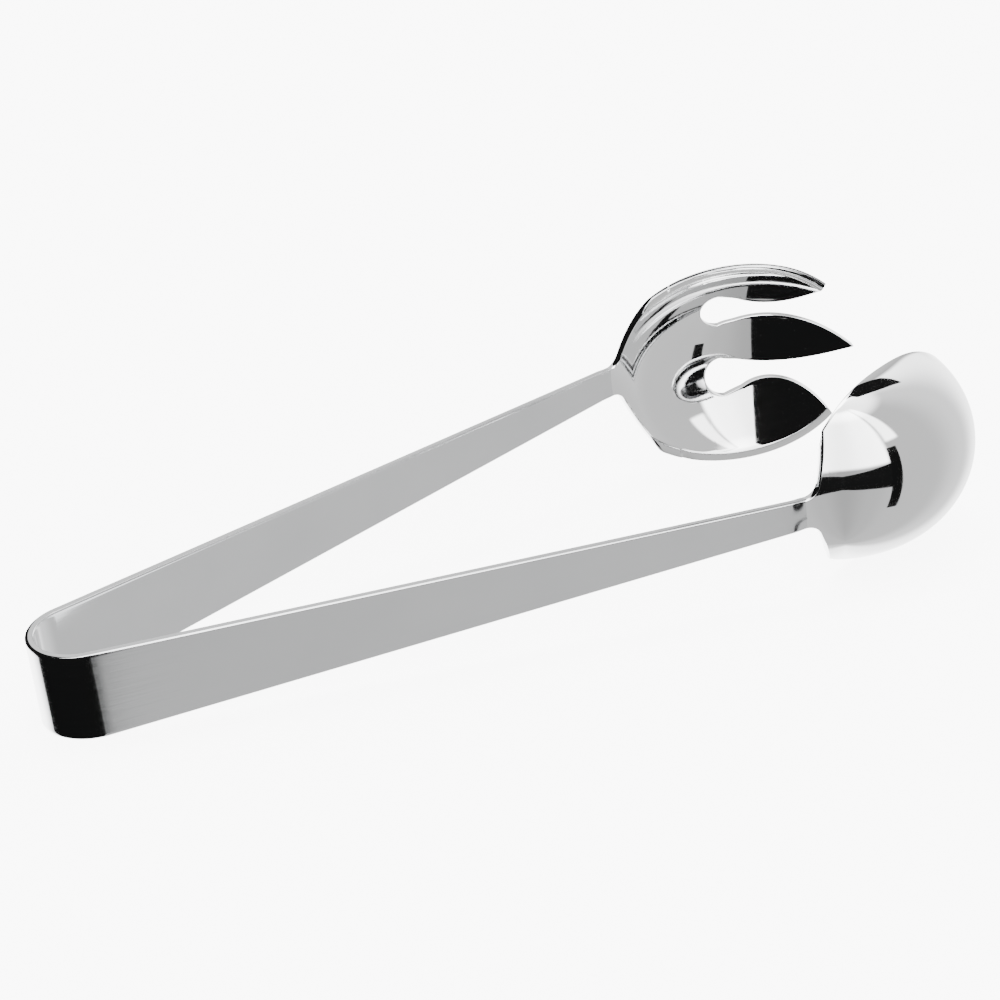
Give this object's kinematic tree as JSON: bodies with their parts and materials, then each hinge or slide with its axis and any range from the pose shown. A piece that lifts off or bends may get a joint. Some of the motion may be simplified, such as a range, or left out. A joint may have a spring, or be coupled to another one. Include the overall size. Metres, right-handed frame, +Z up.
{
  "type": "ice tongs",
  "caption": "Spring tongs for ice: a U-shaped bow joins tapering arms that end in a pronged claw bowl and a plain spoon bowl.",
  "frame": {"origin": "on the table, under the middle of the tongs as they lie on their side", "axes": "+X from the bow towards the bowls, +Y towards the claw arm's side, +Z up"},
  "size_m": [0.2, 0.0872, 0.0476],
  "materials": {
    "satin_steel": "satin",
    "polished_steel": "mirror polished"
  },
  "bodies": {
    "bow": {"spring_bow": "satin_steel"},
    "claw_side": {"claw_arm": "satin_steel", "claw_bowl": "polished_steel"},
    "spoon_side": {"spoon_arm": "satin_steel", "spoon_bowl": "polished_steel"}
  },
  "joints": [
    {"name": "claw_flex", "type": "hinge", "parent": "bow", "child": "claw_side", "pos_m": [-0.09574, 0.00775, 0.01027], "axis": [0.0712, 0.0725, -0.9948], "range_deg": [0, 5.15], "stiffness_Nm_per_rad": 12, "deforming": ["spring_bow"]},
    {"name": "spoon_flex", "type": "hinge", "parent": "bow", "child": "spoon_side", "pos_m": [-0.09571, -0.00358, 0.00945], "axis": [-0.0712, -0.0725, 0.9948], "range_deg": [0, 5.15], "stiffness_Nm_per_rad": 12, "deforming": ["spring_bow"]}
  ],
  "couplings": [
    {"joint": "spoon_flex", "follows": "claw_flex", "ratio": 1}
  ]
}
